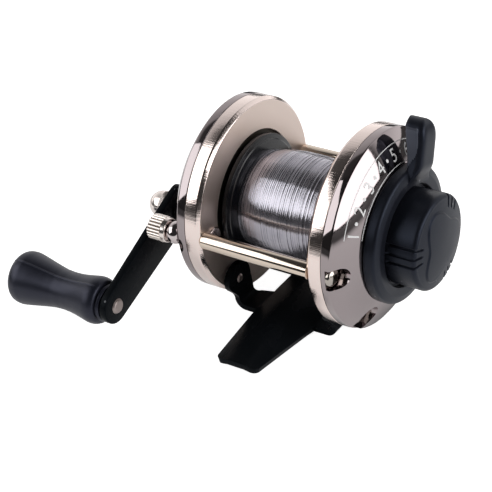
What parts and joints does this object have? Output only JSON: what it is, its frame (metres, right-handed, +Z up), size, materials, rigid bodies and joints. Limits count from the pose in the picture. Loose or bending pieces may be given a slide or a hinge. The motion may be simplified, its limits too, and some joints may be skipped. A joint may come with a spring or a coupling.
{
  "type": "baitcasting reel",
  "caption": "Small round baitcasting reel with a lever drag: nickel side rings and covers, line-filled spool, crank with a turned knob, drag dial and a stamped rod foot.",
  "frame": {"origin": "middle of the rod seat, on the flat strip under the foot", "axes": "+X along the spool axle towards the drag dial, +Y along the rod towards the rear pillar, +Z up from the rod"},
  "size_m": [0.0993, 0.0764, 0.0514],
  "materials": {
    "champagne_nickel": "warm nickel plating, polished rims and satin faces",
    "dark_nickel": "black nickel plating, mirror bright",
    "bright_steel": "bright plated steel",
    "brass": "machined brass",
    "black_paint": "gloss black enamel",
    "black_plastic": "satin moulded plastic",
    "drag_fibre": "pressed fibre",
    "clear_line": "clear grey monofilament"
  },
  "bodies": {
    "frame": {"handle_side_ring": "champagne_nickel", "dial_side_ring": "champagne_nickel", "front_pillar": "champagne_nickel", "rear_pillar": "champagne_nickel", "reel_foot": "black_paint", "handle_side_cover": "dark_nickel", "dial_side_cover": "dark_nickel", "handle_screw_rear": "bright_steel", "handle_screw_foot_front": "bright_steel", "handle_screw_foot_rear": "bright_steel", "dial_screw_front": "bright_steel", "dial_screw_rear": "bright_steel", "dial_screw_foot_front": "bright_steel", "dial_screw_foot_rear": "bright_steel", "gear_plate": "brass", "gear_bush": "brass", "cover_bush": "brass", "spool_axle": "bright_steel", "thumb_stud": "bright_steel", "thumb_collar": "dark_nickel"},
    "crank": {"drive_shaft": "bright_steel", "main_gear": "brass", "gear_collar": "bright_steel", "crank_spacer": "bright_steel", "crank_arm": "black_paint", "cap_nut": "champagne_nickel", "knob_rivet": "bright_steel"},
    "handle": {"handle_knob": "black_plastic"},
    "spool_group": {"spool": "black_paint", "handle_side_bearing": "bright_steel", "dial_side_bearing": "bright_steel", "spool_pinion": "brass", "brake_disc": "bright_steel", "line_core": "clear_line", "line_winding": "clear_line"},
    "lever_group": {"drag_lever": "black_plastic", "cam_ring": "brass"},
    "drag_group": {"pressure_plate": "bright_steel", "drag_pad": "drag_fibre", "drag_spring_washer": "bright_steel"},
    "preset_group": {"preset_knob": "black_plastic", "preset_nut": "brass"},
    "thumb_nut_group": {"thumb_nut": "champagne_nickel"}
  },
  "joints": [
    {"name": "crank_spin", "type": "hinge", "parent": "frame", "child": "crank", "pos_m": [-0.025, -0.0066, 0.01802], "axis": [1, 0, 0], "continuous": true},
    {"name": "handle_knob_spin", "type": "hinge", "parent": "crank", "child": "handle", "pos_m": [-0.049, -0.03498, 0.00713], "axis": [1, 0, 0], "continuous": true},
    {"name": "spool_spin", "type": "hinge", "parent": "frame", "child": "spool_group", "pos_m": [0, 0, 0.0233], "axis": [1, 0, 0], "continuous": true},
    {"name": "drag_lever_turn", "type": "hinge", "parent": "frame", "child": "lever_group", "pos_m": [0.025, 0, 0.0233], "axis": [1, 0, 0], "range_deg": [-20, 75]},
    {"name": "drag_plate_slide", "type": "slide", "parent": "frame", "child": "drag_group", "axis": [-1, 0, 0], "range_m": [-0.00011, 0.0004]},
    {"name": "preset_knob_turn", "type": "hinge", "parent": "frame", "child": "preset_group", "pos_m": [0.03, 0, 0.0233], "axis": [1, 0, 0], "range_deg": [-180, 180]},
    {"name": "thumb_nut_turn", "type": "hinge", "parent": "frame", "child": "thumb_nut_group", "pos_m": [-0.028, -0.022, 0.0233], "axis": [1, 0, 0], "range_deg": [0, 360]}
  ],
  "couplings": [
    {"joint": "spool_spin", "follows": "crank_spin", "ratio": -2.2308},
    {"joint": "drag_plate_slide", "follows": "drag_lever_turn", "m_per_rad": 0.0003}
  ]
}
